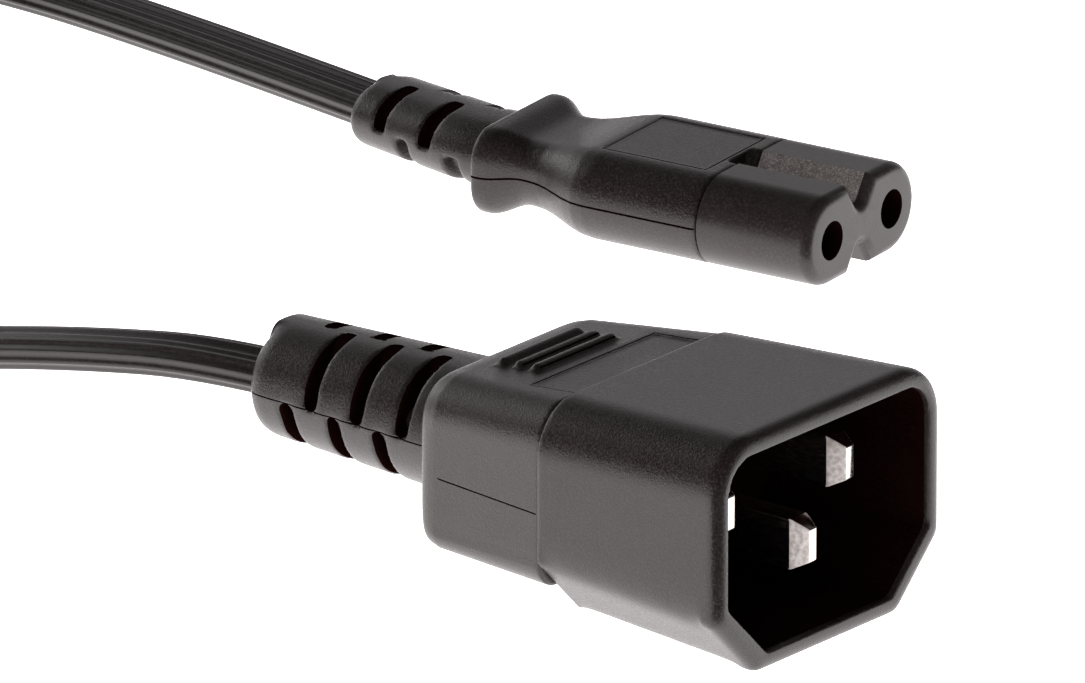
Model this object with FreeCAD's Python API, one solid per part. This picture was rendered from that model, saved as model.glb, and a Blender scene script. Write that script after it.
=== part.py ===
import FreeCAD, Part
import math
import os

# Millimetres and degrees. The connector lies along X with its nose towards +X, its underside on z = 0.

# Connector nose: the hard carrier with the figure-eight face
hole_pitch = 8.6
hole_d = 3.1
lobe_r = 3.6
notch_half_w = 1.75
notch_floor = 1.6
notch_root_r = 0.7
nose_len = 10.0
nose_round = 0.85
tower_r = 2.4
tower_len = 5.0
web_half_t = 0.6

# Connector contacts: spring sleeves with crimp barrels
contact_setback = 2.0
pin_bore_r = 1.22
pin_bore_len = 9.0
sleeve_gap = 0.05
crimp_r = 1.3
crimp_len = 4.5

# Connector over-moulding: grip, finger waist, flange, strain relief
seam_gap = 0.12
side_flat = 0.05
grip_len = 10.4
notch_run = 1.1
waist_run = 6.6
waist_flat = 0.6
waist_half_w = 5.3
waist_half_h = 2.65
waist_corner = 2.25
flare_run = 2.7
flange_len = 1.0
flange_half_w = 6.75
flange_half_h = 3.5
flange_corner = 2.6
flange_round = 0.35
panel_len = 9.2
panel_back = 1.45
panel_half_w = 4.2
panel_depth = 0.25
boot_len = 14.0
boot_front_half_w = 4.2
boot_front_half_h = 2.8
boot_rear_half_w = 4.0
boot_rear_half_h = 2.65
boot_corner = 1.9
boot_round = 0.8
slot_w = 1.3
slot_pitch = 5.0
slot_first = 3.5
slot_stagger = 2.5
slot_count = 2
slot_skin = 0.2

# Flat two-core cord and its cores
cord_w = 5.0
cord_t = 2.8
cord_corner = 0.8
core_r = 1.05
core_pitch = 2.3
jacket_in = 13.85
lead_out = 3.5
plug_jacket_in = 9.0
plug_lead_out = 5.0

# Put-away coil and its tie
coil_x = -91.5
coil_y = -19.5
lane_r = 28.6
lane_step = 5.1
layer_step = 2.9
coil_skin = 0.2
coil_corner = 1.2
tie_t = 0.8
tie_span = 10.0
tie_at = 150.0

# Cord points between the straight lead at each end and the coil
connector_bends = [(-44.5, 9.0, 3.3), (-63.5, 14.6, 2.8), (-78.5, 15.6, 2.4)]
plug_bends = [(-7.5, -62.7, 6.9), (-23.0, -60.4, 3.2), (-42.0, -57.5, 1.45), (-62.0, -55.2, 1.45)]
coil_end_back = 1.0
bend_share = 0.45

# Plug at the far end of the cord: hard shroud with three blades
plug_x = 63.85
plug_y = -71.0
plug_yaw = -6.6
recess_half_w = 11.8
recess_half_h = 7.9
recess_chamfer = 4.4
recess_top_r = 2.6
recess_depth = 15.5
shroud_wall = 1.5
shroud_len = 17.7
shroud_draft = 0.8
shroud_top_r = 4.3
shroud_chamfer = 5.0
shroud_edge_r = 1.2
rim_round = 0.85
tongue_half_w = 9.6
tongue_half_h = 5.6
tongue_corner = 2.0
tongue_len = 3.0
blade_w = 2.0
blade_h = 4.0
blade_pitch = 14.0
blade_up = 2.0
earth_down = 2.0
blade_setback = 3.7
earth_setback = 1.6
tip_len = 1.8
tip_w = 0.9
tip_h = 2.6
blade_tail = 4.0

# Plug over-moulding: grip with finger bars, strain relief
plug_grip_len = 13.4
grip_front_half_w = 12.0
grip_front_half_h = 8.3
grip_rear_half_w = 10.4
grip_rear_half_h = 7.2
grip_top_r = 3.3
grip_front_chamfer = 4.4
grip_rear_chamfer = 2.8
grip_edge_r = 1.6
grip_round = 1.2
bar_count = 3
bar_pitch = 1.6
bar_first = 6.5
bar_half_len = 4.65
bar_w = 0.8
bar_rise = 0.5
bar_round = 0.24
label_len = 4.6
label_half_w = 7.2
label_depth = 0.2
relief_len = 20.8
relief_front_half_w = 6.0
relief_front_half_h = 5.1
relief_rear_half_w = 5.0
relief_rear_half_h = 4.4
relief_corner = 3.9
relief_round = 1.5
slit_w = 1.2
slit_pitch = 4.6
slit_first = 6.6
slit_stagger = -2.3
slit_count = 3
slit_skin = 0.8

# Derived places along the connector, and the height of the coil's lower layer
body_half_w = hole_pitch / 2 + lobe_r
conn_len = nose_len + grip_len + waist_run + waist_flat + flare_run + flange_len + boot_len
tip_x = conn_len / 2
seam_x = tip_x - nose_len
grip_x = seam_x - grip_len
waist_x = grip_x - waist_run
flare_x = waist_x - waist_flat
flange_x = flare_x - flare_run
boot_x = flange_x - flange_len
rear_x = boot_x - boot_len
mid_z = lobe_r
low_layer_z = tie_t + coil_skin + cord_t / 2

# Derived places along the plug, from its rim backwards
grip_front_x = -shroud_len
grip_rear_x = grip_front_x - plug_grip_len
relief_x = grip_rear_x - relief_len
plug_z = recess_half_h + shroud_wall
plug_frame = FreeCAD.Placement(
    FreeCAD.Vector(plug_x, plug_y, plug_z), FreeCAD.Rotation(FreeCAD.Vector(0, 0, 1), plug_yaw)
)
across = FreeCAD.Vector(0, 0, 1)

# Bands of a rounded end and of a soft step, and a reach that clears every section when cutting
end_facets = 3
ease_steps = 6
cut_reach = 2 * body_half_w + grip_front_half_w


def vec(x, y, z):
    return FreeCAD.Vector(x, y, z)


def line(a, b):
    return Part.makeLine(a, b)


def arc(a, middle, b):
    return Part.Arc(a, middle, b).toShape()


# Closed wire in the plane x, through corners (y, z, radius), each rounded with a tangent arc
def soft_polygon(x, corners):
    starts = []
    middles = []
    ends = []
    count = len(corners)
    for k in range(count):
        y, z, r = corners[k]
        here = vec(x, y, z)
        back = vec(x, corners[k - 1][0], corners[k - 1][1]) - here
        ahead = vec(x, corners[(k + 1) % count][0], corners[(k + 1) % count][1]) - here
        back.normalize()
        ahead.normalize()
        half = back.getAngle(ahead) / 2
        bisector = back + ahead
        bisector.normalize()
        reach = r / math.tan(half)
        starts.append(here + back * reach)
        middles.append(here + bisector * (r / math.sin(half) - r))
        ends.append(here + ahead * reach)
    edges = []
    for k in range(count):
        edges.append(arc(starts[k], middles[k], ends[k]))
        edges.append(line(ends[k], starts[(k + 1) % count]))
    return Part.Wire(edges)


def rounded(x, half_w, half_h, r):
    corners = [(half_w, half_h, r), (-half_w, half_h, r)]
    corners += [(-half_w, -half_h, r), (half_w, -half_h, r)]
    return soft_polygon(x, corners)


# Rectangle in the plane x = 0 with its corners cut off
def bevelled(half_w, half_h, cut):
    side = half_w - cut
    low = half_h - cut
    corners = [(half_w, low), (side, half_h), (-side, half_h), (-half_w, low)]
    corners += [(-y, -z) for y, z in corners]
    points = [vec(0, y, z) for y, z in corners]
    return Part.makePolygon(points + points[:1])


def prism(wire, dx):
    return Part.Face(wire).extrude(vec(dx, 0, 0))


def loft(wires):
    return Part.makeLoft(wires, True, True)


# Places x and insets that round off an end, from the full section to the end face
def end_steps(x, inward, radius):
    steps = []
    for k in range(end_facets + 1):
        turn = math.pi / 2 * k / end_facets
        steps.append((x + inward * radius * (1 - math.sin(turn)), radius * (1 - math.cos(turn))))
    return steps


# Tapered block between two rounded sections (half width, half height, corner), its far end rounded off
def tapered(x0, first, x1, last, radius):
    inward = 1 if x0 > x1 else -1
    wires = [rounded(x0, *first)]
    for x, inset in end_steps(x1, inward, radius):
        wires.append(rounded(x, *[size - inset for size in last]))
    return loft(wires)


# Rounds every edge that lies wholly in the plane x
def round_end(shape, x, r):
    edges = [e for e in shape.Edges if all(abs(v.X - x) < 1e-4 for v in e.Vertexes)]
    return shape.makeFillet(r, edges)


def lift(shape, z):
    moved = shape.copy()
    moved.translate(vec(0, 0, z))
    return moved


# Where a notch flank, drawn from its top corner, touches the rounded root
def notch_tangent():
    root_z = notch_floor + notch_root_r
    rise = lobe_r - root_z
    lean = math.atan2(rise, notch_half_w) - math.acos(notch_root_r / math.hypot(rise, notch_half_w))
    return notch_root_r * math.cos(lean), root_z + notch_root_r * math.sin(lean)


# Figure-eight outline: two round lobes, flat between them, with a V notch above and below
def nose_outline(x):
    half = hole_pitch / 2
    ty, tz = notch_tangent()
    edges = []
    for s in (1, -1):
        top = vec(x, s * notch_half_w, s * lobe_r)
        lobe_top = vec(x, s * half, s * lobe_r)
        lobe_low = vec(x, s * half, -s * lobe_r)
        low = vec(x, s * notch_half_w, -s * lobe_r)
        root = vec(x, s * ty, -s * tz)
        far_root = vec(x, -s * ty, -s * tz)
        edges.append(line(top, lobe_top))
        edges.append(arc(lobe_top, vec(x, s * (half + lobe_r), 0), lobe_low))
        edges.append(line(lobe_low, low))
        edges.append(line(low, root))
        edges.append(arc(root, vec(x, 0, -s * notch_floor), far_root))
        edges.append(line(far_root, vec(x, -s * notch_half_w, -s * lobe_r)))
    return Part.Wire(edges)


def lengthwise_rod(x, length, side, r):
    return Part.makeCylinder(r, length, vec(x, side * hole_pitch / 2, 0), vec(1, 0, 0))


# Two round towers and the web between them, keyed into the over-moulding
def nose_tail():
    tail_x = seam_x - tower_len
    web = Part.makeBox(tower_len, hole_pitch, 2 * web_half_t, vec(tail_x, -hole_pitch / 2, -web_half_t))
    return web.fuse([lengthwise_rod(tail_x, tower_len, s, tower_r) for s in (1, -1)]).removeSplitter()


def connector_nose():
    nose = round_end(prism(nose_outline(seam_x), nose_len), tip_x, nose_round)
    nose = nose.fuse(nose_tail()).removeSplitter()
    bores = [lengthwise_rod(seam_x - tower_len, conn_len, s, hole_d / 2) for s in (1, -1)]
    return lift(nose.cut(bores), mid_z)


# Sleeve open towards the nose, closed behind, with the crimp barrel on its tail
def contact(side):
    mouth = tip_x - contact_setback
    tail = seam_x - tower_len
    end = tail - crimp_len
    stop = mouth - pin_bore_len
    sleeve_r = hole_d / 2 - sleeve_gap
    outline = [(mouth, pin_bore_r), (mouth, sleeve_r), (tail, sleeve_r), (tail, crimp_r)]
    outline += [(end, crimp_r), (end, 0), (stop, 0), (stop, pin_bore_r)]
    points = [vec(x, 0, r) for x, r in outline]
    face = Part.Face(Part.makePolygon(points + points[:1]))
    turned = face.revolve(vec(0, 0, 0), vec(1, 0, 0), 360)
    turned.translate(vec(0, side * hole_pitch / 2, mid_z))
    return turned


# Tube along straight runs with a tangent arc at each inner point, the arc as large as its runs allow
def tube(points, section, name):
    face = Part.Face(section)
    pieces = []
    radii = []
    length = 0
    done = 0
    ahead = points[1] - points[0]
    for here, after in zip(points[1:], points[2:]):
        run = ahead.Length
        ahead.normalize()
        turned = after - here
        reach = bend_share * min(run, turned.Length)
        angle = ahead.getAngle(turned)
        radius = reach / math.tan(angle / 2)
        axis = ahead.cross(turned)
        axis.normalize()
        straight = ahead * (run - done - reach)
        pieces.append(face.extrude(straight))
        face.translate(straight)
        centre = face.CenterOfMass + axis.cross(ahead) * radius
        pieces.append(face.revolve(centre, axis, math.degrees(angle)))
        face.rotate(centre, axis, math.degrees(angle))
        length += straight.Length + radius * angle
        radii.append(round(radius, 1))
        done = reach
        ahead = turned
    last = points[-1] - face.CenterOfMass
    pieces.append(face.extrude(last))
    solid = pieces[0].fuse(pieces[1:]).removeSplitter()
    length += last.Length
    ratio = solid.Volume / (face.Area * length)
    print(name, "bend radii", radii, "length", round(length, 1), "volume ratio", round(ratio, 3))
    return solid


# Insulated core running aslant from a crimp or blade tail to the end of the jacket
def core(start, end):
    slant = end - start
    over = core_r / 2
    unit = FreeCAD.Vector(slant)
    unit.normalize()
    rod = Part.makeCylinder(core_r, slant.Length + 2 * over, start - unit * over, unit)
    corner = vec(end.x, -cut_reach, start.z - cut_reach)
    slab = Part.makeBox(start.x - end.x, 2 * cut_reach, 2 * cut_reach, corner)
    return rod.common(slab)


def connector_core(side):
    tail = seam_x - tower_len - crimp_len
    jacket = rear_x + jacket_in
    return core(vec(tail, side * hole_pitch / 2, mid_z), vec(jacket, side * core_pitch / 2, mid_z))


# Flat cord section standing at a point, square to a heading in the floor plane
def cord_section(start, heading):
    wire = bevelled(cord_w / 2, cord_t / 2, cord_corner)
    wire.rotate(vec(0, 0, 0), across, math.degrees(math.atan2(heading.y, heading.x)))
    wire.translate(start)
    return wire


def cord_tube(points, name):
    return tube(points, cord_section(points[0], points[1] - points[0]), name)


def connector_route():
    top = vec(coil_x, coil_y + lane_r + lane_step, low_layer_z)
    inside = vec(rear_x + jacket_in, 0, mid_z)
    outside = vec(rear_x - lead_out, 0, mid_z)
    return [inside, outside] + [vec(*p) for p in connector_bends] + [top]


def plug_route():
    low = vec(coil_x - coil_end_back, coil_y - lane_r - lane_step, low_layer_z + layer_step)
    inside = plug_frame.multVec(vec(relief_x + plug_jacket_in, 0, 0))
    outside = plug_frame.multVec(vec(relief_x - plug_lead_out, 0, 0))
    return [inside, outside] + [vec(*p) for p in plug_bends] + [low]


# Section of the coil across its turns, grown outwards all round by a margin
def coil_section(grow):
    half_w = lane_step + cord_w / 2 + coil_skin + grow
    half_h = (layer_step + cord_t) / 2 + coil_skin + grow
    wire = bevelled(half_w, half_h, coil_corner)
    wire.translate(vec(0, lane_r, low_layer_z + layer_step / 2))
    return Part.Face(wire)


def coil_ring():
    ring = coil_section(0).revolve(vec(0, 0, 0), across, 360)
    ring.translate(vec(coil_x, coil_y, 0))
    return ring


def coil_tie():
    band = coil_section(tie_t).cut(coil_section(0))
    tie = band.revolve(vec(0, 0, 0), across, tie_span)
    tie.rotate(vec(0, 0, 0), across, tie_at - 90 - tie_span / 2)
    tie.translate(vec(coil_x, coil_y, 0))
    return tie.Solids[0]


def ease(t):
    return t * t * (3 - 2 * t)


# Loft with a soft S between two rounded sections (half width, half height, corner)
def soft_step(x0, x1, first, last):
    wires = []
    for k in range(ease_steps + 1):
        t = k / ease_steps
        size = [a + (b - a) * ease(t) for a, b in zip(first, last)]
        wires.append(rounded(x0 + (x1 - x0) * t, *size))
    return loft(wires)


# Notch carried on a little way into the grip
def notch_cutter():
    ty, tz = notch_tangent()
    end_x = seam_x - notch_run
    over = lobe_r + notch_root_r
    right = [vec(end_x, ty, tz), vec(end_x, notch_half_w, lobe_r), vec(end_x, notch_half_w, over)]
    left = [vec(end_x, -p.y, p.z) for p in reversed(right)]
    sides = right + left
    edges = [line(a, b) for a, b in zip(sides, sides[1:])]
    edges.append(arc(left[-1], vec(end_x, 0, notch_floor), right[0]))
    return prism(Part.Wire(edges), nose_len)


# Slot in one quarter of a strain relief, leaving the middle round the cord whole
def quarter_slot(x, width, side_y, side_z, keep_half_w, keep_half_h, keep_corner):
    corner = vec(x - width / 2, min(0, side_y * cut_reach), min(0, side_z * cut_reach))
    box = Part.makeBox(width, cut_reach, cut_reach, corner)
    keep = prism(rounded(x - width, keep_half_w, keep_half_h, keep_corner), 2 * width)
    return box.cut(keep)


# Slots of a strain relief: opposite quarters share their places, the other two are staggered
def relief_slots(rear, first, stagger, pitch, count, width, skin):
    slots = []
    keep = (cord_w / 2 + skin, cord_t / 2 + skin, cord_corner + skin)
    for side_y in (1, -1):
        for side_z in (1, -1):
            start = rear + first
            if side_y == side_z:
                start += stagger
            for k in range(count):
                slots.append(quarter_slot(start + k * pitch, width, side_y, side_z, *keep))
    return slots


def connector_overmould(inner):
    side_r = lobe_r - side_flat
    grip_size = (body_half_w, lobe_r, side_r)
    waist_size = (waist_half_w, waist_half_h, waist_corner)
    flange_size = (flange_half_w, flange_half_h, flange_corner)
    grip = prism(rounded(seam_x - seam_gap, *grip_size), seam_gap - grip_len)
    waist = soft_step(grip_x, waist_x, grip_size, waist_size)
    neck = prism(rounded(waist_x, *waist_size), -waist_flat)
    flare = soft_step(flare_x, flange_x, waist_size, flange_size)
    flange = tapered(flange_x, flange_size, boot_x, flange_size, flange_round)
    front_size = (boot_front_half_w, boot_front_half_h, boot_corner)
    rear_size = (boot_rear_half_w, boot_rear_half_h, boot_corner)
    boot = tapered(boot_x, front_size, rear_x, rear_size, boot_round)
    body = grip.fuse([waist, neck, flare, flange, boot]).removeSplitter()
    notch = notch_cutter()
    under = notch.mirror(vec(0, 0, 0), across)
    panel_x = seam_x - panel_back - panel_len
    panel_corner = vec(panel_x, -panel_half_w, lobe_r - panel_depth)
    panel = Part.makeBox(panel_len, 2 * panel_half_w, lobe_r, panel_corner)
    slots = relief_slots(rear_x, slot_first, slot_stagger, slot_pitch, slot_count, slot_w, slot_skin)
    body = lift(body.cut([notch, under, panel] + slots), mid_z)
    return body.cut(inner)


def blade_wire(x, y, z, half_w, half_h):
    points = [vec(x, y + half_w, z + half_h), vec(x, y - half_w, z + half_h)]
    points += [vec(x, y - half_w, z - half_h), vec(x, y + half_w, z - half_h)]
    return Part.makePolygon(points + points[:1])


def blade(y, z, setback):
    tail_x = -shroud_len - tongue_len - blade_tail
    shoulder_x = -setback - tip_len
    bar = prism(blade_wire(tail_x, y, z, blade_w / 2, blade_h / 2), shoulder_x - tail_x)
    wide = blade_wire(shoulder_x, y, z, blade_w / 2, blade_h / 2)
    tip = loft([wide, blade_wire(-setback, y, z, tip_w / 2, tip_h / 2)])
    return bar.fuse(tip).removeSplitter()


# Shroud section: rounded upper corners, chamfered lower ones
def shroud_wire(x, half_w, half_h, top_r, chamfer, edge_r):
    low = half_h - chamfer
    side = half_w - chamfer
    corners = [(half_w, half_h, top_r), (-half_w, half_h, top_r), (-half_w, -low, edge_r)]
    corners += [(-side, -half_h, edge_r), (side, -half_h, edge_r), (half_w, -low, edge_r)]
    return soft_polygon(x, corners)


# The same section drawn in by an inset, its chamfers keeping their slant
def inset_shroud(x, size, inset):
    half_w, half_h, top_r, chamfer, edge_r = size
    cut = chamfer - inset * (2 - math.sqrt(2))
    return shroud_wire(x, half_w - inset, half_h - inset, top_r - inset, cut, edge_r)


def plug_shroud(blades):
    outer_w = recess_half_w + shroud_wall
    outer_h = recess_half_h + shroud_wall
    corners = (shroud_top_r, shroud_chamfer, shroud_edge_r)
    wires = [shroud_wire(-shroud_len, outer_w - shroud_draft, outer_h - shroud_draft, *corners)]
    for x, inset in end_steps(0, -1, rim_round):
        wires.append(inset_shroud(x, (outer_w, outer_h) + corners, inset))
    shell = loft(wires)
    inner = shroud_wire(0, recess_half_w, recess_half_h, recess_top_r, recess_chamfer, shroud_edge_r / 2)
    tongue = prism(rounded(-shroud_len, tongue_half_w, tongue_half_h, tongue_corner), -tongue_len)
    shell = shell.cut(prism(inner, -recess_depth)).fuse(tongue).removeSplitter()
    return shell.cut(blades)


def plug_core(side):
    tail = vec(-shroud_len - tongue_len - blade_tail, side * blade_pitch / 2, blade_up)
    return core(tail, vec(relief_x + plug_jacket_in, side * core_pitch / 2, 0))


# Finger bars across the top of the plug's grip, which falls towards the cord
def finger_bars():
    fall = (grip_front_half_h - grip_rear_half_h) / plug_grip_len
    bars = []
    for k in range(bar_count):
        x = grip_front_x - bar_first - k * bar_pitch
        top = grip_front_half_h - fall * (grip_front_x - x)
        corner = vec(x - bar_w / 2, -bar_half_len, top - bar_rise)
        bar = Part.makeBox(bar_w, 2 * bar_half_len, 2 * bar_rise, corner)
        upper = [e for e in bar.Edges if all(v.Z > top for v in e.Vertexes)]
        bars.append(bar.makeFillet(bar_round, upper))
    return bars


def label_cutter():
    fall = math.degrees(math.atan2(grip_front_half_h - grip_rear_half_h, plug_grip_len))
    corner = vec(grip_front_x - label_len, -label_half_w, grip_front_half_h - label_depth)
    box = Part.makeBox(2 * label_len, 2 * label_half_w, grip_front_half_h, corner)
    box.rotate(vec(grip_front_x, 0, grip_front_half_h), vec(0, 1, 0), -fall)
    return box


def plug_overmould():
    front = (grip_front_half_w, grip_front_half_h, grip_top_r, grip_front_chamfer, grip_edge_r)
    rear = (grip_rear_half_w, grip_rear_half_h, grip_top_r, grip_rear_chamfer, grip_edge_r)
    wires = [shroud_wire(grip_front_x, *front)]
    for x, inset in end_steps(grip_rear_x, 1, grip_round):
        wires.append(inset_shroud(x, rear, inset))
    grip = loft(wires)
    root = (relief_front_half_w, relief_front_half_h, relief_corner)
    end = (relief_rear_half_w, relief_rear_half_h, relief_corner)
    relief = tapered(grip_rear_x, root, relief_x, end, relief_round)
    body = grip.cut(label_cutter()).fuse([relief] + finger_bars()).removeSplitter()
    slits = relief_slots(relief_x, slit_first, slit_stagger, slit_pitch, slit_count, slit_w, slit_skin)
    tongue = prism(rounded(-shroud_len, tongue_half_w, tongue_half_h, tongue_corner), -tongue_len)
    return body.cut(slits + [tongue])


def at_plug(shape):
    placed = shape.copy()
    placed.Placement = plug_frame.multiply(placed.Placement)
    return placed


def build():
    parts = {}
    parts["connector_nose"] = connector_nose()
    parts["contact_left"] = contact(1)
    parts["contact_right"] = contact(-1)
    parts["core_left"] = connector_core(1)
    parts["core_right"] = connector_core(-1)
    parts["cord_run_connector"] = cord_tube(connector_route(), "cord_run_connector")
    parts["cord_run_plug"] = cord_tube(plug_route(), "cord_run_plug")
    runs = [parts["cord_run_connector"], parts["cord_run_plug"]]
    parts["cord_coil"] = coil_ring().cut(runs)
    parts["coil_tie"] = coil_tie()

    tail_names = ["contact_left", "contact_right", "core_left", "core_right", "cord_run_connector"]
    inner = [lift(nose_tail(), mid_z)] + [parts[n] for n in tail_names]
    parts["connector_overmould"] = connector_overmould(inner)

    blades = [blade(s * blade_pitch / 2, blade_up, blade_setback) for s in (1, -1)]
    blades.append(blade(0, -earth_down, earth_setback))
    cores = [plug_core(1), plug_core(-1)]
    for name, shape in zip(("plug_pin_line", "plug_pin_neutral", "plug_pin_earth"), blades):
        parts[name] = at_plug(shape)
    for name, shape in zip(("plug_core_line", "plug_core_neutral"), cores):
        parts[name] = at_plug(shape)
    parts["plug_shroud"] = at_plug(plug_shroud(blades))
    parts["plug_overmould"] = at_plug(plug_overmould().cut(blades + cores)).cut(parts["cord_run_plug"])
    return parts


os.makedirs("parts", exist_ok=True)
for name, shape in build().items():
    solids = shape.Solids
    print(name, "solids", len(solids), "valid", shape.isValid(), "volume", round(shape.Volume, 1))
    solids[0].exportStep(os.path.join("parts", name + ".step"))
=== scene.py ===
import math
import bmesh
import bpy
from mathutils import Matrix, Vector


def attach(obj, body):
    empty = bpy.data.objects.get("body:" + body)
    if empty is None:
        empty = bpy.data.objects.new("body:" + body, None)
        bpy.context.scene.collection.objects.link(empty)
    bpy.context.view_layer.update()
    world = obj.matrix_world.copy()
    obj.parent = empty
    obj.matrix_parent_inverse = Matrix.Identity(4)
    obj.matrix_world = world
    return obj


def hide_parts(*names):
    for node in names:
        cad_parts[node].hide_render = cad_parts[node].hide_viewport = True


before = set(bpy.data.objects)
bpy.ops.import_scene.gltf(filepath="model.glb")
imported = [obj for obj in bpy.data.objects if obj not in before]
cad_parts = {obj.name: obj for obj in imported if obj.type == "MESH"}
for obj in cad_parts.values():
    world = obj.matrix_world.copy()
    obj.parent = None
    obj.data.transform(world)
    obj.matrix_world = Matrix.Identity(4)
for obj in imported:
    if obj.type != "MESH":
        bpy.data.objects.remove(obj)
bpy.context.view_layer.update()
mm = 0.001
weldGap = 0.001 * mm  # points closer than this become one
planeGap = 0.0001 * mm  # points closer than this to a cut count as on it
print("frame loaded,", len(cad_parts), "nodes")


# the view of the photograph: a long lens, a little above the table
viewValues = {
    "azimuth": 32.4,
    "elevation": 19.8,
    "lens": 900.0,
    "distance": 2070.6 * mm,
    "noseTip": Vector((22.65 * mm, 0, 3.6 * mm)),
    "tipRight": 24.38 * mm,  # how far the nose tip lies right of the frame's middle
    "tipUp": 8.91 * mm,
    "reach": 20.0,
}


def makeCamera():
    a = math.radians(viewValues["azimuth"])
    e = math.radians(viewValues["elevation"])
    back = Vector((math.sin(a) * math.cos(e), -math.cos(a) * math.cos(e), math.sin(e)))
    right = Vector((math.cos(a), math.sin(a), 0))
    up = back.cross(right)
    aim = viewValues["noseTip"] - right * viewValues["tipRight"] - up * viewValues["tipUp"]
    lens = bpy.data.cameras.new("productLens")
    lens.lens = viewValues["lens"]
    lens.clip_end = viewValues["reach"]
    camera = bpy.data.objects.new("productCamera", lens)
    camera.location = aim + back * viewValues["distance"]
    camera.rotation_mode = "QUATERNION"
    camera.rotation_quaternion = (-back).to_track_quat("-Z", "Y")
    bpy.context.scene.collection.objects.link(camera)
    bpy.context.scene.camera = camera


makeCamera()
print("camera set")


def link(name, mesh):
    piece = bpy.data.objects.new(name, mesh)
    bpy.context.scene.collection.objects.link(piece)
    return piece


def toMesh(bm, name):
    mesh = bpy.data.meshes.new(name)
    bm.to_mesh(mesh)
    bm.free()
    return mesh


# a merged copy of a solid, ready to be reshaped
def nodeCopy(node):
    bm = bmesh.new()
    bm.from_mesh(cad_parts[node].data)
    bmesh.ops.remove_doubles(bm, verts=bm.verts, dist=weldGap)
    return bm


# flat two-core lead: the free runs follow the route, the spare length is wound up behind
cordValues = {
    "length": 1.0,
    "width": 5.0 * mm,
    "lobeRadius": 1.4 * mm,
    "lobeApart": 2.2 * mm,
    "ribs": 9,  # soft ribs round each lobe
    "ribDepth": 0.2 * mm,
    "profilePoints": 56,  # round each lobe
    "smoothness": 9,
    "divide": -30.0,  # the connector's run lies left of this, the plug's right of it
    "connectorMouth": -22.0,
    "plugMouth": 12.9,
    "exit": (-22.65 * mm, 2.95 * mm, 3.6 * mm),  # where the lead leaves the connector
}
routeFromConnector = [
    (-8.8, 0, 3.6), (-13.5, 0.35, 3.6), (-26.15, 3.9, 3.6), (-44.5, 9.4, 3.3),
    (-63.5, 14.6, 2.8), (-78.5, 15.6, 2.4), (-91.5, 14.2, 2.4),
]
routeToPlug = [
    (-92.5, -53.2, 5.3), (-62.0, -55.2, 1.45), (-42.0, -57.5, 1.45), (-23.0, -60.4, 3.2),
    (-7.5, -62.7, 6.9), (7.327, -64.46, 9.4), (21.234, -66.069, 9.4),
]
coilValues = {
    "centre": Vector((-91.5, -19.5, 0)) * mm,
    "turns": 4.49,
    "pointsPerTurn": 16,
    "startAngle": 90.0,
    "radius": 33.7 * mm,
    "height": 2.4 * mm,
    "laneSteps": [(0.5, 0.95, -5.1), (1.5, 1.95, -5.1), (3.0, 3.45, 5.1), (3.55, 3.95, 5.1)],
    "layerSteps": [(2.1, 2.5, 2.9)],
}


# from 0 to 1 without a corner
def softStep(value, first, last):
    t = min(1, max(0, (value - first) / (last - first)))
    return t * t * (3 - 2 * t)


# soft sum of steps (from turn, to turn, millimetres)
def stepped(steps, turn):
    return sum(size * mm * softStep(turn, first, last) for first, last, size in steps)


def coilPoints():
    c = coilValues
    gain = 1 / math.cos(math.pi / c["pointsPerTurn"])  # the spline runs inside its points
    points = []
    for k in range(1, int(c["turns"] * c["pointsPerTurn"])):
        turn = k / c["pointsPerTurn"]
        angle = math.radians(c["startAngle"] + 360 * turn)
        r = (c["radius"] + stepped(c["laneSteps"], turn)) * gain
        z = c["height"] + stepped(c["layerSteps"], turn)
        points.append(c["centre"] + Vector((r * math.cos(angle), r * math.sin(angle), z)))
    return points


def cordSpline():
    points = [Vector(p) * mm for p in routeFromConnector] + coilPoints()
    points += [Vector(p) * mm for p in routeToPlug]
    curve = bpy.data.curves.new("leadRoute", "CURVE")
    curve.dimensions = "3D"
    curve.twist_mode = "Z_UP"
    curve.resolution_u = cordValues["smoothness"]
    spline = curve.splines.new("NURBS")
    spline.points.add(len(points) - 1)
    for p, at in zip(spline.points, points):
        p.co = (*at, 1)
    spline.order_u = 3
    spline.use_endpoint_u = True
    return curve


# outline across the lead: two ribbed lobes that meet in a valley above and below
def cordProfile():
    c = cordValues
    curve = bpy.data.curves.new("leadSection", "CURVE")
    curve.dimensions = "2D"
    valley = math.acos(c["lobeApart"] / 2 / c["lobeRadius"])
    reach = math.pi - valley
    outline = []
    for side in (1, -1):
        for k in range(c["profilePoints"]):
            a = reach * (2 * k / (c["profilePoints"] - 1) - 1)
            r = c["lobeRadius"] - c["ribDepth"] * (0.5 + 0.5 * math.cos(c["ribs"] * a))
            outline.append((side * (c["lobeApart"] / 2 + r * math.cos(a)), side * r * math.sin(a)))
    spline = curve.splines.new("POLY")
    spline.points.add(len(outline) - 1)
    for p, (x, y) in zip(spline.points, outline):
        p.co = (x, y, 0, 1)
    spline.use_cyclic_u = True
    return bpy.data.objects.new("leadSection", curve)


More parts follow.
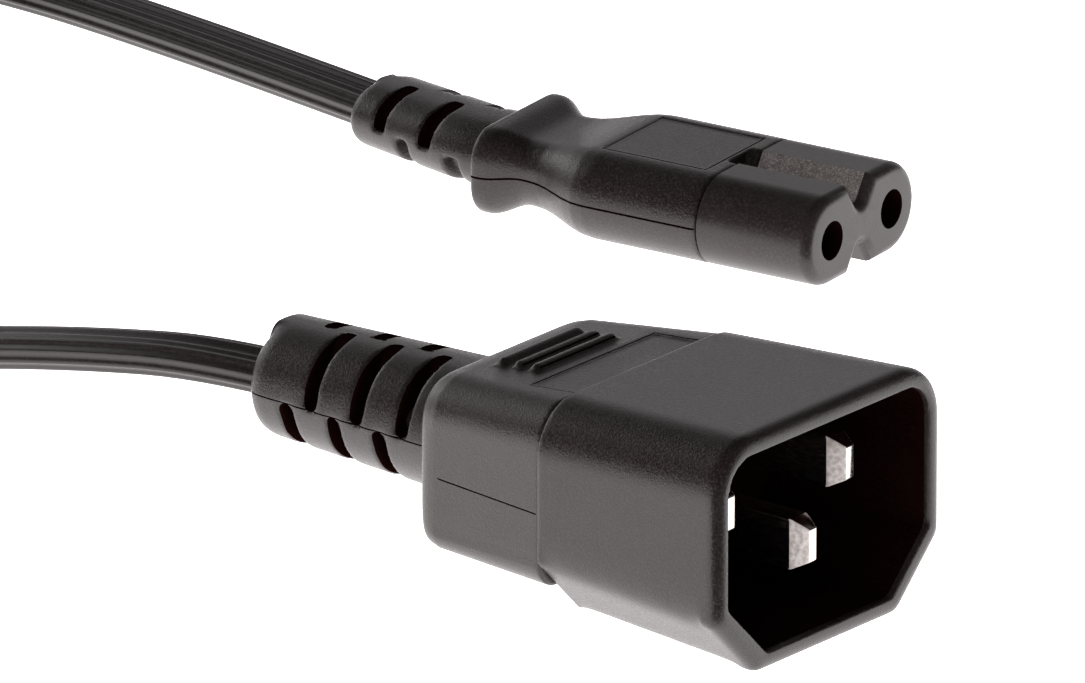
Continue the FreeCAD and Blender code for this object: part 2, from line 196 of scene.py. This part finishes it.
def makeCord():
    route = bpy.data.objects.new("leadRoute", cordSpline())
    bare = bpy.data.meshes.new_from_object(route)
    path = [tuple(v.co) for v in bare.vertices]
    section = cordProfile()
    bpy.context.scene.collection.objects.link(section)
    route.data.bevel_mode = "OBJECT"
    route.data.bevel_object = section
    route.data.use_fill_caps = True
    bpy.context.scene.collection.objects.link(route)
    bpy.context.view_layer.update()
    shown = route.evaluated_get(bpy.context.evaluated_depsgraph_get())
    bm = bmesh.new()
    bm.from_mesh(bpy.data.meshes.new_from_object(shown))
    bmesh.ops.remove_doubles(bm, verts=bm.verts, dist=weldGap)
    bmesh.ops.recalc_face_normals(bm, faces=bm.faces)
    for f in bm.faces:
        f.smooth = True
        x, y = f.calc_center_median().xy / mm
        mouth = cordValues["connectorMouth" if y > cordValues["divide"] else "plugMouth"]
        # the lead inside the strain relief is painted black as shade
        f.material_index = 1 if x > mouth else 0  # inside the strain relief
    bpy.data.objects.remove(route)
    bpy.data.objects.remove(section)
    return link("lead", toMesh(bm, "lead")), path


lead, leadPath = makeCord()
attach(lead, "root")
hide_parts("cord_run_connector", "cord_run_plug", "cord_coil")
print("lead made,", len(leadPath), "points along it")


# the far plug sits turned on the table, so its pieces are shaped in its own frame
plugValues = {
    "rim": Vector((63.85, -71.0, 9.4)) * mm,
    "yaw": -6.6,
}
plugTurn = Matrix.Translation(plugValues["rim"]) @ Matrix.Rotation(math.radians(plugValues["yaw"]), 4, "Z")


def soften(bm, verts, passes, pull=0.5):
    for k in range(passes):
        bmesh.ops.smooth_vert(
            bm, verts=verts, factor=pull, use_axis_x=True, use_axis_y=True, use_axis_z=True
        )


# moulded copy of a solid: even small faces, then every edge eased as a mould leaves it
def mouldedCopy(node, name, values, turn=Matrix.Identity(4)):
    bm = nodeCopy(node)
    bm.transform(turn.inverted())
    rough = bpy.data.objects.new(name, toMesh(bm, name))
    even = rough.modifiers.new("even", "REMESH")
    even.mode = "VOXEL"
    even.voxel_size = values["grain"]
    bpy.context.scene.collection.objects.link(rough)
    bpy.context.view_layer.update()
    shown = rough.evaluated_get(bpy.context.evaluated_depsgraph_get())
    bm = bmesh.new()
    bm.from_mesh(bpy.data.meshes.new_from_object(shown))
    bpy.data.objects.remove(rough)
    soften(bm, bm.verts, values["easing"])
    return bm


def between(p, low, high):
    return all(a * mm <= c <= b * mm for c, a, b in zip(p, low, high))


# fine V line cut into the surface along a plane, within a box given in millimetres; the faces along it are
# painted black as shade
def scoreLine(bm, at, normal, low, high, cut):
    halfWidth, depth = cut
    for offset in (-halfWidth, halfWidth, 0):
        faces = [f for f in bm.faces if between(f.calc_center_median(), low, high)]
        edges = list(dict.fromkeys(e for f in faces for e in f.edges))
        verts = list(dict.fromkeys(v for f in faces for v in f.verts))
        geom = verts + edges + faces
        place = (Vector(at) + Vector(normal) * offset) * mm
        line = bmesh.ops.bisect_plane(bm, geom=geom, dist=planeGap, plane_co=place, plane_no=normal)
    bm.normal_update()
    for v in line["geom_cut"]:
        if isinstance(v, bmesh.types.BMVert) and between(v.co, low, high):
            v.co -= v.normal * depth * mm
            for f in v.link_faces:
                f.material_index = 1


# how deep a point lies inside a rounded rectangle across the piece
def depthInside(y, z, halfWidth, halfHeight, corner):
    a = abs(y) - halfWidth + corner
    b = abs(z) - halfHeight + corner
    return corner - math.hypot(max(a, 0), max(b, 0)) - min(max(a, b), 0)


# sizes of a tapered stretch at x, from those at its rear and its front
def taper(v, x):
    t = (x - v["rear"]) / (v["front"] - v["rear"])
    return [a + t * (b - a) for a, b in zip(v["rearSize"], v["frontSize"])]


# faces sunk in the slots of a strain relief get the second material, painted shade
def shadeSlots(bm, r, midZ):
    for f in bm.faces:
        x, y, z = f.calc_center_median() / mm
        lit = y > r["darkY"] or z - midZ < r["darkZ"]
        if r["rear"] + r["endRound"] < x < r["front"] and not lit:
            if depthInside(y, z - midZ, *taper(r, x), r["corner"]) > r["deep"]:
                f.material_index = 1


# draws the border between a surface and its painted shade straight
def evenBorder(bm, passes):
    beside = {}
    for e in bm.edges:
        if len({f.material_index for f in e.link_faces}) > 1:
            for v in e.verts:
                beside.setdefault(v, []).append(e.other_vert(v))
    for k in range(passes):
        middles = {v: sum((b.co for b in near), Vector()) / len(near) for v, near in beside.items()}
        for v, middle in middles.items():
            v.co = (v.co + middle) / 2


# rounds a strain relief's section, draws it in from the parting line
# and lets its slots run out over the top
def easeRelief(bm, r, midZ):
    n = r["squareness"]
    for v in bm.verts:
        x, y, z = v.co / mm
        if not r["rear"] < x < r["front"] - r["clear"]:
            continue
        halfWidth, halfHeight = taper(r, x)
        height = abs(z - midZ)
        away = math.hypot(y, height)
        depth = max(depthInside(y, height, halfWidth, halfHeight, r["corner"]), 0)
        before = away + depth
        after = away / ((abs(y) / halfWidth) ** n + (height / halfHeight) ** n) ** (1 / n)
        if height > r["core"]:
            low, high = r["runOut"] if y < 0 else r["farRunOut"]
            depth *= softStep(abs(y), low, high)
        grow = (after - depth * after / before) / away
        drawn = 1 - r["draft"] * height * grow / halfHeight
        v.co.y = y * grow * drawn * mm
        v.co.z = (midZ + (z - midZ) * grow) * mm


# swings a soft tail aside, as its lead pulls it
def bendTail(bm, b):
    for v in bm.verts:
        x, y, z = v.co / mm
        back = b["from"] - x
        if back > 0:
            bent = min(back, b["run"])
            slope = b["slope"] * bent / b["run"]
            turn = math.atan(slope)
            v.co.x = (x + y * math.sin(turn)) * mm
            v.co.y = (slope * bent / 2 + slope * (back - bent) + y * math.cos(turn)) * mm


def finished(bm, name, turn=Matrix.Identity(4)):
    bm.transform(turn)
    for f in bm.faces:
        f.smooth = True
    return link(name, toMesh(bm, name))


gripValues = {
    "grain": 0.165 * mm,
    "easing": 3,
    "midZ": 3.6,
    "lineLow": (-8.6, -9, 3.2),
    "lineHigh": (12.3, 9, 4.0),
    "lineCut": (0.1, 0.14),  # half width and depth
    "relief": {  # half width and half height, then the slots, dark where y < darkY and z > darkZ
        "rear": -22.65, "front": -8.65, "endRound": 1.0, "rearSize": (4.0, 2.65), "frontSize": (4.2, 2.8),
        "corner": 1.9, "deep": 0.15, "squareness": 2.4, "clear": 0.3, "core": 1.5,
        "runOut": (0.1, 2.0), "farRunOut": (0.6, 1.8), "draft": 0.06, "darkY": 0, "darkZ": 0,
    },
    "borderPasses": 8,
    "tail": {"from": -8.6, "run": 5.0, "slope": 0.26},
    "panelTop": 7.2,
    "panelLow": (2.0, -4.2, 6.7),
    "panelHigh": (11.2, 4.2, 7.18),
    "panelShallow": 0.4,
    "panelLines": [
        ((2.0, 0, 0), (1, 0, 0), (1.5, -4.2, 6.7), (2.5, 4.2, 7.4)),
        ((11.2, 0, 0), (1, 0, 0), (10.9, -4.2, 6.7), (11.5, 4.2, 7.4)),
        ((0, -4.2, 0), (0, 1, 0), (2.0, -4.6, 6.7), (11.2, -3.8, 7.4)),
        ((0, 4.2, 0), (0, 1, 0), (2.0, 3.8, 6.7), (11.2, 4.6, 7.4)),
    ],
    "panelCut": (0.07, 0.08),
}


def makeGrip():
    g = gripValues
    bm = mouldedCopy("connector_overmould", "connectorGrip", g)
    shadeSlots(bm, g["relief"], g["midZ"])
    evenBorder(bm, g["borderPasses"])
    easeRelief(bm, g["relief"], g["midZ"])
    bendTail(bm, g["tail"])
    for v in bm.verts:
        if between(v.co, g["panelLow"], g["panelHigh"]):
            v.co.z = (g["panelTop"] - (g["panelTop"] - v.co.z / mm) * g["panelShallow"]) * mm
    scoreLine(bm, (0, 0, g["midZ"]), (0, 0, 1), g["lineLow"], g["lineHigh"], g["lineCut"])
    for at, normal, low, high in g["panelLines"]:
        scoreLine(bm, at, normal, low, high, g["panelCut"])
    return finished(bm, "connectorGrip")


connectorGrip = makeGrip()
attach(connectorGrip, "root")
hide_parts("connector_overmould")
print("connector grip made,", len(connectorGrip.data.polygons), "faces")


# the hard nose keeps its true edges; its bores are painted black as shade, its rough notch flanks are
# painted lighter as light falling on them
noseValues = {
    "sharpest": 35.0,
    "holeY": 4.3,
    "holeZ": 3.6,
    "boreRadius": 1.6,
    "face": 22.6,
    "notchLow": (12.5, -1.8, 4.9),
    "notchHigh": (21.8, 1.8, 7.15),
}


def makeNose():
    n = noseValues
    bm = nodeCopy("connector_nose")
    for e in bm.edges:
        e.smooth = len(e.link_faces) != 2 or e.calc_face_angle() < math.radians(n["sharpest"])
    for f in bm.faces:
        centre = f.calc_center_median()
        x, y, z = centre / mm
        # bores painted black as shade
        if math.hypot(abs(y) - n["holeY"], z - n["holeZ"]) < n["boreRadius"] and x < n["face"]:
            f.material_index = 1
        # notch flanks: rougher surface, painted lighter as light falling on them
        elif between(centre, n["notchLow"], n["notchHigh"]):
            f.material_index = 2
    nose = finished(bm, "connectorNose")
    even = nose.modifiers.new("even", "WEIGHTED_NORMAL")
    even.keep_sharp = True
    return nose


connectorNose = makeNose()
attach(connectorNose, "root")
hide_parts("connector_nose")
print("connector nose made,", len(connectorNose.data.polygons), "faces")


plugGripValues = {
    "grain": 0.205 * mm,
    "easing": 3,
    "lineCut": (0.055, 0.09),
    "lines": [  # on the plane, square to, from, to
        ((0, 0, 0), (0, 0, 1), (-28.5, -13, -0.5), (-18.2, 13, 0.5)),
        ((0, 0, 0), (0, 0, 1), (-51.0, -7, -0.5), (-31.5, 7, 0.5)),
        ((-22.35, 0, 0), (1, 0, 0), (-22.9, -7.2, 7.0), (-21.8, 7.2, 9.0)),
        ((0, -7.45, 0), (0, 1, 0), (-22.35, -7.9, 7.0), (-17.9, -7.0, 9.0)),
        ((0, 7.25, 0), (0, 1, 0), (-22.35, 6.7, 7.0), (-17.9, 7.8, 9.0)),
    ],
    "relief": {
        "rear": -51.9, "front": -31.1, "endRound": 2.3, "rearSize": (5.0, 4.4), "frontSize": (6.0, 5.1),
        "corner": 3.9, "deep": 0.15, "squareness": 2.5, "clear": 0.3, "core": 2.0,
        "runOut": (0.4, 2.6), "farRunOut": (3.0, 4.8), "draft": 0.13, "darkY": 6, "darkZ": -6,
    },
    "borderPasses": 8,
    "under": {  # half width, half height and chamfer at the rear and the front
        "rear": -31.1, "front": -17.7, "rearSize": (10.4, 7.2, 2.8), "frontSize": (12.0, 8.3, 4.4),
        "edge": 1.6, "flat": 6.1,  # rounding of the solid's chamfer, underside below the middle
    },
    "rearLow": (-31.6, -12, -8.0),
    "rearHigh": (-29.2, 12, 8.0),
    "rearClear": (7.0, 6.0),  # kept off the strain relief's root
    "rearPasses": 70,
    "barsLow": (-28.4, -5.2, 7.0),
    "barsHigh": (-23.4, 5.2, 9.4),
    "barFlank": 0.8,
}


# the grip's chamfered lower corners become full rounds that run into a flat underside
def roundUnder(bm, u):
    bend = u["edge"] * math.tan(math.pi / 8)
    for v in bm.verts:
        x, y, z = v.co / mm
        halfWidth, halfHeight, chamfer = taper(u, x)
        start = halfHeight - chamfer
        drop = -z - start
        if u["rear"] <= x <= u["front"] and drop > -bend:
            radius = u["flat"] - start
            sunk = min(max(drop, 0) / chamfer, 1) * radius
            after = halfWidth - radius + math.sqrt(radius ** 2 - sunk ** 2)
            before = halfWidth - drop
            if drop < bend * math.sqrt(0.5):
                before = halfWidth - u["edge"] + math.sqrt(u["edge"] ** 2 - (drop + bend) ** 2)
            v.co.y = y * after / before * mm
            if drop > 0:
                v.co.z = -(start + sunk) * mm


def makePlugGrip():
    g = plugGripValues
    bm = mouldedCopy("plug_overmould", "plugGrip", g, plugTurn)
    shadeSlots(bm, g["relief"], 0)
    evenBorder(bm, g["borderPasses"])
    easeRelief(bm, g["relief"], 0)
    roundUnder(bm, g["under"])
    clearY, clearZ = g["rearClear"]
    rear = [v for v in bm.verts if between(v.co, g["rearLow"], g["rearHigh"])]
    rear = [v for v in rear if abs(v.co.y) > clearY * mm or abs(v.co.z) > clearZ * mm]
    soften(bm, rear, g["rearPasses"])
    bm.normal_update()
    # the bars' flanks are painted black as shade between the bars
    for f in bm.faces:
        if between(f.calc_center_median(), g["barsLow"], g["barsHigh"]) and abs(f.normal.x) > g["barFlank"]:
            f.material_index = 1
    for at, normal, low, high in g["lines"]:
        scoreLine(bm, at, normal, low, high, g["lineCut"])
    return finished(bm, "plugGrip", plugTurn)


plugGrip = makePlugGrip()
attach(plugGrip, "root")
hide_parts("plug_overmould")

shroudValues = {
    "grain": 0.21 * mm,
    "easing": 3,
    "recessLow": (-15.8, -12.15, -8.25),
    "recessHigh": (-0.5, 12.15, 8.25),
    "recessSlant": 15.7,  # width and drop together, inside the lower chamfers
    "outward": 2.0,  # faces that look outwards lie above this, the recess below it
    "softLow": (-17.5, -14, -9.6),
    "softHigh": (-1.7, 14, -1.5),
    "softPasses": 120,
}


# the shroud's lower edges are softened, the walls inside it are painted black as shade
def makeShroud():
    s = shroudValues
    bm = mouldedCopy("plug_shroud", "plugShroud", s, plugTurn)
    bm.normal_update()
    under = [v for v in bm.verts if between(v.co, s["softLow"], s["softHigh"])]
    soften(bm, [v for v in under if v.normal.y * v.co.y + v.normal.z * v.co.z > 0], s["softPasses"])
    bm.normal_update()
    for f in bm.faces:
        centre = f.calc_center_median()
        y, z = centre.yz / mm
        inward = f.normal.y * y + f.normal.z * z < s["outward"]
        within = between(centre, s["recessLow"], s["recessHigh"])
        if inward and within and abs(y) + max(-z, 0) < s["recessSlant"]:
            f.material_index = 1
    return finished(bm, "plugShroud", plugTurn)


plugShroud = makeShroud()
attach(plugShroud, "root")
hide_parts("plug_shroud")
print("plug made,", len(plugGrip.data.polygons) + len(plugShroud.data.polygons), "faces")


# flat nickelled blades with a chamfered tip, lightly broken along every edge
bladeValues = {
    "width": 2.0 * mm,
    "height": 4.0 * mm,
    "tail": -24.7 * mm,
    "tipLength": 1.4 * mm,
    "tipWidth": 0.9 * mm,
    "tipHeight": 2.6 * mm,
    "edge": 0.12 * mm,
    "edgeSteps": 3,
    "stamped": (0.15, 0.5),  # least turn forwards and sideways of the tip's dull facets
    "places": {
        "plug_pin_line": (7.0 * mm, 2.0 * mm, -3.7 * mm),
        "plug_pin_neutral": (-7.0 * mm, 2.0 * mm, -3.7 * mm),
        "plug_pin_earth": (0, -2.0 * mm, -1.6 * mm),
    },
}


def makeBlade(node):
    b = bladeValues
    y, z, tip = b["places"][node]
    shoulder = tip - b["tipLength"]
    length = shoulder - b["tail"]
    bm = bmesh.new()
    bmesh.ops.create_cube(bm, size=1)
    bmesh.ops.scale(bm, vec=(length, b["width"], b["height"]), verts=bm.verts)
    bmesh.ops.translate(bm, vec=(shoulder - length / 2, y, z), verts=bm.verts)
    front = max(bm.faces, key=lambda f: f.calc_center_median().x)
    tipFace = bmesh.ops.extrude_face_region(bm, geom=[front])
    bmesh.ops.delete(bm, geom=[front], context="FACES_ONLY")
    tipVerts = [v for v in tipFace["geom"] if isinstance(v, bmesh.types.BMVert)]
    bmesh.ops.translate(bm, vec=(b["tipLength"], 0, 0), verts=tipVerts)
    shrink = (1, b["tipWidth"] / b["width"], b["tipHeight"] / b["height"])
    bmesh.ops.scale(bm, vec=shrink, verts=tipVerts, space=Matrix.Translation((-tip, -y, -z)))
    bmesh.ops.bevel(
        bm, geom=bm.edges[:], affect="EDGES", offset=b["edge"], segments=b["edgeSteps"],
        profile=0.5, material=-1,
    )
    bmesh.ops.recalc_face_normals(bm, faces=bm.faces)
    for f in bm.faces:
        forwards, sideways = b["stamped"]
        f.material_index = 1 if f.normal.x > forwards and abs(f.normal.y) > sideways else 0
    return finished(bm, node + "_blade", plugTurn)


blades = []
for node in bladeValues["places"]:
    blade = makeBlade(node)
    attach(blade, "root")
    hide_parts(node)
    blades.append(blade)
print("blades made,", len(blades))


tieValues = {"edge": 0.25 * mm, "edgeSteps": 3, "flatness": 1.0}


def makeTie():
    bm = nodeCopy("coil_tie")
    flat = math.radians(tieValues["flatness"])
    bmesh.ops.dissolve_limit(bm, angle_limit=flat, verts=bm.verts, edges=bm.edges)
    tie = finished(bm, "coilTie")
    soft = tie.modifiers.new("edge", "BEVEL")
    soft.width = tieValues["edge"]
    soft.segments = tieValues["edgeSteps"]
    soft.limit_method = "ANGLE"
    return tie


coilTie = makeTie()
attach(coilTie, "root")
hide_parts("coil_tie")
print("tie made")

onLead = [plugGrip, plugShroud, coilTie] + blades
onLead += [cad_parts[n] for n in ("plug_core_line", "plug_core_neutral")]


def startMaterial(name):
    mat = bpy.data.materials.new(name)
    mat.use_nodes = True
    nodes = mat.node_tree.nodes
    return mat, nodes, mat.node_tree.links, nodes["Principled BSDF"]


# where in the noise each change begins and ends, and the finer layers of each noise
mottleValues = {
    "cloud": (0.35, 0.65), "fleck": (0.46, 0.7), "gloss": (0.3, 0.7), "scratch": (0.3, 0.7),
    "grainDetail": 2, "cloudDetail": 4, "scratchDetail": 3,
}


def noise(nodes, links, place, scale, detail):
    tex = nodes.new("ShaderNodeTexNoise")
    tex.inputs["Scale"].default_value = scale
    tex.inputs["Detail"].default_value = detail
    links.new(place, tex.inputs["Vector"])
    return tex.outputs["Fac"]


def ramp(nodes, links, source, limits, fromValue, toValue):
    r = nodes.new("ShaderNodeMapRange")
    r.inputs["From Min"].default_value, r.inputs["From Max"].default_value = limits
    r.inputs["To Min"].default_value = fromValue
    r.inputs["To Max"].default_value = toValue
    links.new(source, r.inputs["Value"])
    return r.outputs["Result"]


def roughen(nodes, links, shader, source, v):
    bump = nodes.new("ShaderNodeBump")
    bump.inputs["Strength"].default_value = v["bump"]
    bump.inputs["Distance"].default_value = v["bumpDepth"]
    links.new(source, bump.inputs["Height"])
    links.new(bump.outputs["Normal"], shader.inputs["Normal"])


# mixes two colours, the first a plain one or one that is already mixed
def mixColour(nodes, links, factor, first, second):
    m = nodes.new("ShaderNodeMix")
    m.data_type = "RGBA"
    if isinstance(first, tuple):
        m.inputs["A"].default_value = (*first, 1)
    else:
        links.new(first, m.inputs["A"])
    m.inputs["B"].default_value = (*second, 1)
    links.new(factor, m.inputs["Factor"])
    return m.outputs["Result"]


# black moulded plastic: fine blasted grain, slow tone changes and a mottled gloss
def moulded(name, v):
    mat, nodes, links, shader = startMaterial(name)
    m = mottleValues
    place = nodes.new("ShaderNodeTexCoord").outputs["Object"]
    grain = noise(nodes, links, place, v["grainScale"], m["grainDetail"])
    cloud = noise(nodes, links, place, v["cloudScale"], m["cloudDetail"])
    tone = ramp(nodes, links, cloud, m["cloud"], 0, 1)
    clouded = mixColour(nodes, links, tone, v["dark"], v["light"])
    specks = ramp(nodes, links, grain, m["fleck"], 0, 1)
    links.new(mixColour(nodes, links, specks, clouded, v["fleck"]), shader.inputs["Base Color"])
    gloss = ramp(nodes, links, grain, m["gloss"], v["roughLow"], v["roughHigh"])
    links.new(gloss, shader.inputs["Roughness"])
    roughen(nodes, links, shader, grain, v)
    shader.inputs["Specular IOR Level"].default_value = v["specular"]
    return mat


finishValues = {
    "gripBlack": {
        "dark": (0.009, 0.005, 0.005), "light": (0.013, 0.0085, 0.0085), "fleck": (0.034, 0.027, 0.027),
        "grainScale": 7000, "cloudScale": 260, "roughLow": 0.28, "roughHigh": 0.46,
        "bump": 0.7, "bumpDepth": 0.05 * mm, "specular": 0.46,
    },
    "noseBlack": {
        "dark": (0.014, 0.009, 0.009), "light": (0.02, 0.0145, 0.015), "fleck": (0.034, 0.028, 0.028),
        "grainScale": 5200, "cloudScale": 200, "roughLow": 0.32, "roughHigh": 0.42,
        "bump": 0.25, "bumpDepth": 0.03 * mm, "specular": 0.39,
    },
    "shroudBlack": {
        "dark": (0.009, 0.005, 0.005), "light": (0.013, 0.0085, 0.0085), "fleck": (0.03, 0.024, 0.024),
        "grainScale": 6500, "cloudScale": 220, "roughLow": 0.28, "roughHigh": 0.44,
        "bump": 0.6, "bumpDepth": 0.05 * mm, "specular": 0.44,
    },
    "leadBlack": {
        "dark": (0.008, 0.005, 0.005), "light": (0.012, 0.008, 0.008), "fleck": (0.02, 0.015, 0.015),
        "grainScale": 4200, "cloudScale": 300, "roughLow": 0.28, "roughHigh": 0.4,
        "bump": 0.1, "bumpDepth": 0.02 * mm, "specular": 0.34,
    },
    # painted shade: a black with no gloss for the sunk places
    "paintedShadeBlack": {  # sunk places that no light reaches
        "dark": (0.004, 0.001, 0.0008), "light": (0.006, 0.0018, 0.0014), "fleck": (0.009, 0.003, 0.0025),
        "grainScale": 6000, "cloudScale": 200, "roughLow": 0.6, "roughHigh": 0.75,
        "bump": 0.3, "bumpDepth": 0.03 * mm, "specular": 0.0,
    },
    # painted light: the rougher notch flanks are coloured pale to stand in for light on them
    "notchPaintedLight": {  # unpolished flanks of the nose's notch
        "dark": (0.14, 0.122, 0.117), "light": (0.22, 0.198, 0.19), "fleck": (0.4, 0.372, 0.355),
        "grainScale": 6500, "cloudScale": 900, "roughLow": 0.6, "roughHigh": 0.8,
        "bump": 0.8, "bumpDepth": 0.06 * mm, "specular": 0.5,
    },
    # painted shade: the hidden cores are coloured black so they read dark through the slots
    "corePaintedShade": {
        "dark": (0.012, 0.008, 0.008), "light": (0.016, 0.011, 0.011), "fleck": (0.02, 0.014, 0.014),
        "grainScale": 4200, "cloudScale": 300, "roughLow": 0.36, "roughHigh": 0.5,
        "bump": 0.1, "bumpDepth": 0.02 * mm, "specular": 0.5,
    },
}


# drawn metal: faint lengthwise scratches over a mottled plating
def plated(name, v):
    mat, nodes, links, shader = startMaterial(name)
    m = mottleValues
    place = nodes.new("ShaderNodeTexCoord").outputs["Object"]
    stretch = nodes.new("ShaderNodeMapping")
    stretch.inputs["Scale"].default_value = v["stretch"]
    links.new(place, stretch.inputs["Vector"])
    drawn = noise(nodes, links, stretch.outputs["Vector"], v["scratchScale"], m["scratchDetail"])
    tone = ramp(nodes, links, drawn, m["scratch"], 0, 1)
    links.new(mixColour(nodes, links, tone, v["dark"], v["light"]), shader.inputs["Base Color"])
    gloss = ramp(nodes, links, drawn, m["scratch"], v["roughLow"], v["roughHigh"])
    links.new(gloss, shader.inputs["Roughness"])
    roughen(nodes, links, shader, drawn, v)
    shader.inputs["Metallic"].default_value = v["metal"]
    return mat


platingValues = {
    "bladeNickel": {
        "dark": (0.58, 0.54, 0.51), "light": (0.76, 0.72, 0.69), "stretch": (0.15, 1, 1),
        "scratchScale": 6000, "roughLow": 0.12, "roughHigh": 0.24, "metal": 1,
        "bump": 0.15, "bumpDepth": 0.01 * mm,
    },
    "tipNickel": {  # stamped facets at the tips
        "dark": (0.5, 0.45, 0.42), "light": (0.92, 0.88, 0.85), "stretch": (1, 1, 1),
        "scratchScale": 2600, "roughLow": 0.4, "roughHigh": 0.6, "metal": 0.2,
        "bump": 0.15, "bumpDepth": 0.01 * mm,
    },
    "contactBrass": {
        "dark": (0.52, 0.36, 0.16), "light": (0.66, 0.47, 0.22), "stretch": (0.15, 1, 1),
        "scratchScale": 5000, "roughLow": 0.28, "roughHigh": 0.42, "metal": 1,
        "bump": 0.15, "bumpDepth": 0.01 * mm,
    },
}


def dress(piece, *mats):
    for mat in mats:
        piece.data.materials.append(mat)


finishes = {name: moulded(name, v) for name, v in finishValues.items()}
finishes.update({name: plated(name, v) for name, v in platingValues.items()})
dress(connectorGrip, finishes["gripBlack"], finishes["paintedShadeBlack"])
dress(plugGrip, finishes["gripBlack"], finishes["paintedShadeBlack"])
dress(connectorNose, finishes["noseBlack"], finishes["paintedShadeBlack"], finishes["notchPaintedLight"])
dress(plugShroud, finishes["shroudBlack"], finishes["paintedShadeBlack"])
dress(lead, finishes["leadBlack"], finishes["paintedShadeBlack"])
dress(coilTie, finishes["leadBlack"])
for blade in blades:
    dress(blade, finishes["bladeNickel"], finishes["tipNickel"])
# the cores are painted black as shade
nodeFinish = {
    "contact_left": "contactBrass", "contact_right": "contactBrass",
    "core_left": "corePaintedShade", "core_right": "corePaintedShade",
    "plug_core_line": "corePaintedShade", "plug_core_neutral": "corePaintedShade",
}
for node, name in nodeFinish.items():
    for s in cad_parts[node].material_slots:
        s.material = finishes[name]
print("finishes set,", len(finishes))


studioValues = {
    "floorSize": 6.0,
    "floorTone": (0.9, 0.9, 0.9),
    "floorGlow": 2.2,
    "roughness": 0.9,
    "warmth": (1.0, 0.965, 0.97),
    "roomLight": 0.05,
    "lamps": {  # away from the camera, to its left, up, size, watts, whether it shows in gloss
        "backdrop": (1.3, 0.0, 0.45, (2.4, 0.7), 3.7, True),
        "leftGlow": (0.75, 1.0, 0.5, (0.9, 0.6), 4.2, True),
        "frontFill": (-0.8, 0.3, 0.9, (0.8, 0.8), 5.0, False),
    },
    "cardTone": (0.01, 0.008, 0.008),
    "cardTurn": 57.6,
    "cards": {  # black cards beside the two faces, seen only in the gloss: place, width, height
        "noseCard": ((26.0, -10.0), 20.0, 12.0),
        "rimCard": ((68.2, -88.0), 32.0, 24.0),
    },
}


# one even colour, for the things round the object
def plain(name, colour, glow):
    mat, _, _, shader = startMaterial(name)
    shader.inputs["Base Color"].default_value = (*colour, 1)
    shader.inputs["Roughness"].default_value = studioValues["roughness"]
    shader.inputs["Emission Color"].default_value = (*studioValues["warmth"], 1)
    shader.inputs["Emission Strength"].default_value = glow
    return mat


def makeFloor():
    s = studioValues
    bm = bmesh.new()
    bmesh.ops.create_grid(bm, x_segments=1, y_segments=1, size=s["floorSize"] / 2)
    floor = link("floor", toMesh(bm, "floor"))
    dress(floor, plain("paleFloor", s["floorTone"], s["floorGlow"]))


def makeLamps():
    s = studioValues
    a = math.radians(viewValues["azimuth"])
    away = Vector((-math.sin(a), math.cos(a), 0))
    left = Vector((-math.cos(a), -math.sin(a), 0))
    for name, (far, aside, high, size, watts, inGloss) in s["lamps"].items():
        glow = bpy.data.lights.new(name, "AREA")
        glow.shape = "RECTANGLE"
        glow.size, glow.size_y = size
        glow.energy = watts
        glow.color = s["warmth"]
        lamp = bpy.data.objects.new(name, glow)
        lamp.location = away * far + left * aside + Vector((0, 0, high))
        lamp.rotation_euler = (-lamp.location).to_track_quat("-Z", "Y").to_euler()
        lamp.visible_camera = False
        lamp.visible_glossy = inGloss
        bpy.context.scene.collection.objects.link(lamp)


# the cards darken the edges of the faces that look towards the camera's right
def makeCards():
    s = studioValues
    mat = plain("blackCard", s["cardTone"], 0)
    for name, ((x, y), width, height) in s["cards"].items():
        bm = bmesh.new()
        bmesh.ops.create_grid(bm, x_segments=1, y_segments=1, size=mm / 2)
        bmesh.ops.scale(bm, vec=(width, height, 1), verts=bm.verts)
        stand = Matrix.Rotation(math.radians(s["cardTurn"]), 4, "Z") @ Matrix.Rotation(math.pi / 2, 4, "X")
        bm.transform(Matrix.Translation(Vector((x, y, height / 2)) * mm) @ stand)
        card = link(name, toMesh(bm, name))
        dress(card, mat)
        card.visible_camera = False
        card.visible_diffuse = False
        card.visible_shadow = False


def makeRoom():
    room = bpy.data.worlds.new("room")
    room.use_nodes = True
    room.node_tree.nodes["Background"].inputs["Color"].default_value = (1, 1, 1, 1)
    room.node_tree.nodes["Background"].inputs["Strength"].default_value = studioValues["roomLight"]
    bpy.context.scene.world = room
    bpy.context.scene.view_settings.view_transform = "Standard"


makeFloor()
makeLamps()
makeCards()
makeRoom()
print("studio set")
